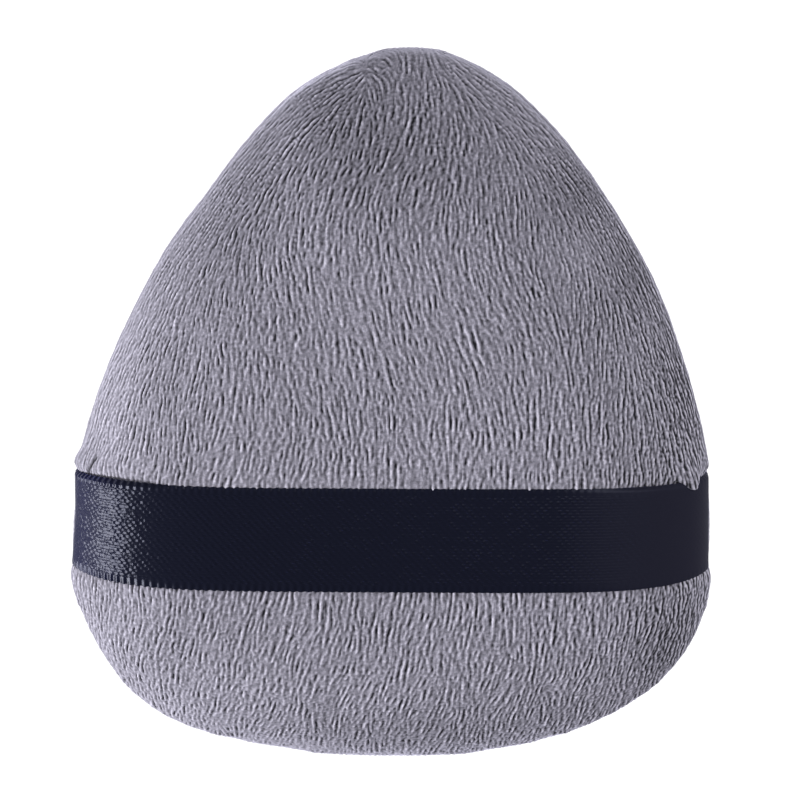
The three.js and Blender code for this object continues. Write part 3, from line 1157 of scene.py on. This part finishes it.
def times(tree, colour, value):
    """A colour multiplied by a value."""
    node = add(tree, "ShaderNodeVectorMath", operation="SCALE")
    wire(tree, colour, node, 0)
    wire(tree, value, node, "Scale")
    return node.outputs["Vector"]


def plush_pile():
    """The pile's fibre: dark in the furrows, light on the ridges, with a soft bloom."""
    material, shader = plain_material("plush_pile", (0.3, 0.29, 0.34), 0.9)
    tree = material.node_tree
    shade = ramp(tree, [(0.0, FURROW), (0.5, MIDDLE), (1.0, RIDGE)], attribute(tree, "stroke"))
    cloud, fleck = [
        maths(tree, "MULTIPLY", noise(tree, object_place(tree), kind["size"]), kind["share"])
        for kind in (CLOUD, FLECK)
    ]
    tone = maths(tree, "ADD", maths(tree, "ADD", cloud, fleck), LEAST_TONE)
    wire(tree, times(tree, shade, tone), shader, "Base Color")
    tune(shader, {
        "Specular IOR Level": 0.15,
        "Sheen Weight": 0.52,
        "Sheen Roughness": 0.4,
        "Sheen Tint": (0.82, 0.8, 1.0, 1),
    })
    return material


def dress(obj, material):
    """Gives a piece its one material."""
    obj.data.materials.clear()
    obj.data.materials.append(material)


pile_material = plush_pile()
for piece in front_pile + back_pile:
    dress(piece, pile_material)
print("pile dressed")

# %% The ground's material
KNIT = {"size": 0.4 * MM, "depth": 0.2 * MM, "strength": 0.6}
KNIT_TONE_AND_SHADE = [(0.35, (0.13, 0.124, 0.15)), (0.7, (0.24, 0.23, 0.28))]


def raise_bump(tree, height, distance, strength, shader):
    """Feeds a height into a shader's normal."""
    bump = add(tree, "ShaderNodeBump")
    tune(bump, {"Strength": strength, "Distance": distance})
    wire(tree, height, bump, "Height")
    wire(tree, bump.outputs["Normal"], shader, "Normal")


def plush_ground():
    """The knitted cloth under the pile, with random tone that is darker where the knit is low, as painted
    shade.
    """
    material, shader = plain_material("plush_ground", (0.08, 0.076, 0.095), 0.95)
    tree = material.node_tree
    knit = noise(tree, object_place(tree), KNIT["size"], 3.0)
    # random tone, and painted shade where the knit is low
    wire(tree, ramp(tree, KNIT_TONE_AND_SHADE, knit), shader, "Base Color")
    raise_bump(tree, knit, KNIT["depth"], KNIT["strength"], shader)
    tune(shader, {"Specular IOR Level": 0.1})
    return material


ground_material = plush_ground()
for piece in (front, back):
    dress(piece, ground_material)
print("ground dressed")

# %% [markdown]
# ## Satin
# Satin floats its warp threads over several wefts and dips under one at a time, each dip stepped
# along from the last, so the cloth is smooth and shiny with a faint slanting grain. The pattern is
# drawn on the ribbon's own map: threads across its width, and dips along it, shifted by two fifths
# from thread to thread. It drives the bump. No two floats lie quite alike, so each has its own height
# by chance, and along both edges the loops of weft take its place. Towards the right end the weave is
# pressed flat and rubbed duller, and its colour is painted lighter there as painted light. At both
# ends it leans back a little, and at the left one the base colour is bluer where the ribbon goes into
# the seam.

# %% Weave the satin
WARP_PITCH = 0.36 * MM
FLOAT_LENGTH = 0.85 * MM
DIP_SHIFT = 0.4
DIP_CHANCE = 0.8
DIP_LEAST = 0.1
HUMP_SHARE = 0.5
WEAVE_DEPTH = 0.03 * MM
LOOP_DEPTH = {"bent": 0.032 * MM, "flat": 0.008 * MM}
RIPPLE = 0.16 * MM
RIPPLE_SIZE = 0.9 * MM
ZONES = {
    "held": (0.07, 0.12),
    "left_tilt": (0.05, 0.12),
    "ripple": (0.14, 0.26),
    "loops": (0.15, 0.22),
    "pressed_and_lit": (0.7, 0.86),
    "duller": (0.66, 0.86),
    "right_tilt": (0.83, 0.96),
}


def ranged(tree, value, start, end, first, last):
    """A value eased from first to last while it goes from start to end."""
    node = add(tree, "ShaderNodeMapRange", interpolation_type="SMOOTHSTEP")
    tune(node, {1: start, 2: end, 3: first, 4: last})
    wire(tree, value, node, "Value")
    return node.outputs["Result"]


def float_height(tree, along, across):
    """The height of the warp threads and their dips, with a ripple near the left end."""
    thread = maths(tree, "MULTIPLY", across, STRAP_WIDTH / WARP_PITCH)
    number = maths(tree, "FLOOR", thread)
    run = maths(tree, "MULTIPLY", along, STRAP_LENGTH / FLOAT_LENGTH)
    stepped = maths(tree, "ADD", run, maths(tree, "MULTIPLY", number, DIP_SHIFT))
    dip = maths(tree, "SINE", maths(tree, "MULTIPLY", stepped, 2 * math.pi))
    hump = maths(tree, "SINE", maths(tree, "MULTIPLY", maths(tree, "FRACT", thread), math.pi))
    spot = add(tree, "ShaderNodeCombineXYZ")
    wire(tree, number, spot, "X")
    wire(tree, maths(tree, "FLOOR", stepped), spot, "Y")
    chance = add(tree, "ShaderNodeTexWhiteNoise", noise_dimensions="2D")
    wire(tree, spot.outputs[0], chance, "Vector")
    uneven = maths(tree, "ADD", maths(tree, "MULTIPLY", chance.outputs["Value"], DIP_CHANCE), DIP_LEAST)
    dips = maths(tree, "MULTIPLY", dip, uneven)
    height = maths(tree, "ADD", dips, maths(tree, "MULTIPLY", hump, HUMP_SHARE))
    ripple = maths(tree, "SUBTRACT", noise(tree, object_place(tree), RIPPLE_SIZE), 0.5)
    rippled = ranged(tree, along, *ZONES["ripple"], RIPPLE / WEAVE_DEPTH, 0.0)
    return maths(tree, "ADD", height, maths(tree, "MULTIPLY", ripple, rippled))


def loop_height(tree, along):
    """The height of the weft loops at the edges, which stand up most where the ribbon bends."""
    turns = maths(tree, "MULTIPLY", along, 2 * math.pi * STRAP_LENGTH / LOOP_PITCH)
    depths = [depth / WEAVE_DEPTH for depth in LOOP_DEPTH.values()]
    standing = ranged(tree, along, *ZONES["loops"], *depths)
    return maths(tree, "MULTIPLY", maths(tree, "SINE", turns), standing)


print(f"weave of {STRAP_WIDTH / WARP_PITCH:.0f} threads, floats {FLOAT_LENGTH / MM} mm long")

# %% The satin's material
RIGHT_TILT = 2.0 * MM
LEFT_TILT = 0.75 * MM
PRESSED_WEAVE = 0.15
HELD_WEAVE = 0.4
EDGE_MAP = (0.435, 0.45)
SATIN_GLOSS = {"woven": 0.2, "pressed_and_lit": 0.55}
# The colour at the right end is painted lighter than the woven navy: painted light. The held colour is a
# bluer navy at the left end.
SATIN_COLOUR = {
    "held": (0.0056, 0.0062, 0.024),
    "woven": (0.0048, 0.0054, 0.011),
    "pressed_and_lit": (0.0115, 0.0112, 0.0205),
}
COLOUR_STOPS = [(0.1, "held"), (0.18, "woven"), (0.7, "woven"), (0.9, "pressed_and_lit")]


def satin():
    """Near-black navy satin with a woven grain."""
    material, shader = plain_material("navy_satin", SATIN_COLOUR["woven"], SATIN_GLOSS["woven"])
    tree = material.node_tree
    place = add(tree, "ShaderNodeSeparateXYZ")
    wire(tree, add(tree, "ShaderNodeUVMap", uv_map="UVMap").outputs["UV"], place, 0)
    along, across = place.outputs["X"], place.outputs["Y"]
    from_middle = maths(tree, "ABSOLUTE", maths(tree, "SUBTRACT", across, 0.5))
    selvedge = ranged(tree, from_middle, *EDGE_MAP, 0.0, 1.0)
    inside = maths(tree, "SUBTRACT", 1.0, selvedge)
    woven = maths(tree, "MULTIPLY", float_height(tree, along, across), inside)
    height = maths(tree, "ADD", woven, maths(tree, "MULTIPLY", loop_height(tree, along), selvedge))
    for zone, first, last in (("pressed_and_lit", 1.0, PRESSED_WEAVE), ("held", HELD_WEAVE, 1.0)):
        height = maths(tree, "MULTIPLY", height, ranged(tree, along, *ZONES[zone], first, last))
    right = ranged(tree, along, *ZONES["right_tilt"], 0.0, RIGHT_TILT / WEAVE_DEPTH)
    left = ranged(tree, along, *ZONES["left_tilt"], LEFT_TILT / WEAVE_DEPTH, 0.0)
    height = maths(tree, "ADD", height, maths(tree, "ADD", left, right))
    raise_bump(tree, height, WEAVE_DEPTH, 1.0, shader)
    wire(tree, ranged(tree, along, *ZONES["duller"], *SATIN_GLOSS.values()), shader, "Roughness")
    stops = [(stop, SATIN_COLOUR[name]) for stop, name in COLOUR_STOPS]
    wire(tree, ramp(tree, stops, along), shader, "Base Color")
    tune(shader, {
        "Specular IOR Level": 0.085,
        "Specular Tint": (0.72, 0.75, 1.0, 1),
        "Sheen Weight": 0.18,
        "Sheen Roughness": 0.3,
        "Sheen Tint": (0.3, 0.32, 1.0, 1),
    })
    return material


dress(ribbon, satin())
print("satin dressed")

# %% [markdown]
# ## Sponge and thread
# The sponge is cream, with fine open pores whose hollows are painted darker, as painted shade.
# The threads are twisted polyester in the cloth's colour: they keep their solids from the frame, and
# their material carries the twist as slanting darker and lighter bands, painted shade and light.

# %% Sponge and thread materials
PORE_SIZE = 0.6 * MM
PORE_DEPTH = 0.3 * MM
SPONGE_PORE_SHADING = [(0.1, (0.6, 0.56, 0.46)), (0.5, (0.87, 0.84, 0.75))]
TWIST_PITCH = 1.5 * MM
THREAD_TWIST_SHADING = [(0.2, (0.1, 0.095, 0.12)), (0.8, (0.2, 0.19, 0.23))]


def sponge():
    """Cream sponge with open pores, painted darker in their hollows."""
    material, shader = plain_material("cream_sponge", (0.85, 0.82, 0.72), 0.9)
    tree = material.node_tree
    pores = add(tree, "ShaderNodeTexVoronoi")
    tune(pores, {"Scale": 1 / PORE_SIZE})
    wire(tree, object_place(tree), pores, "Vector")
    depth = pores.outputs["Distance"]
    # painted shade: the pores' hollows are coloured darker
    wire(tree, ramp(tree, SPONGE_PORE_SHADING, depth), shader, "Base Color")
    raise_bump(tree, depth, PORE_DEPTH, 1.0, shader)
    return material


def thread():
    """Twisted grey-lilac sewing thread, its twist painted as bands of shade and light."""
    material, shader = plain_material("grey_thread", (0.16, 0.15, 0.18), 0.6)
    tree = material.node_tree
    twist = add(tree, "ShaderNodeTexWave", bands_direction="DIAGONAL")
    tune(twist, {"Scale": 1 / TWIST_PITCH})
    wire(tree, object_place(tree), twist, "Vector")
    # painted shade and light on the twist's slanting bands
    wire(tree, ramp(tree, THREAD_TWIST_SHADING, twist.outputs["Fac"]), shader, "Base Color")
    return material


dress(core, sponge())
thread_material = thread()
for node in ("needle_thread", "bobbin_thread", "left_strap_tack", "right_strap_tack", "closing_stitch"):
    dress(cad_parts[node], thread_material)
print("sponge and threads dressed")

# %% [markdown]
# ## Joining the pieces to the motion
# All the cloth, the pile and the sponge move with the pad. The ribbon's ends stay in the seam with
# the pad and its crown rises with the strap; here its place is only baked into its mesh.

# %% Ride on the pad
for piece in (front, back, core, *front_pile, *back_pile):
    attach(piece, "pad")
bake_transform(ribbon)
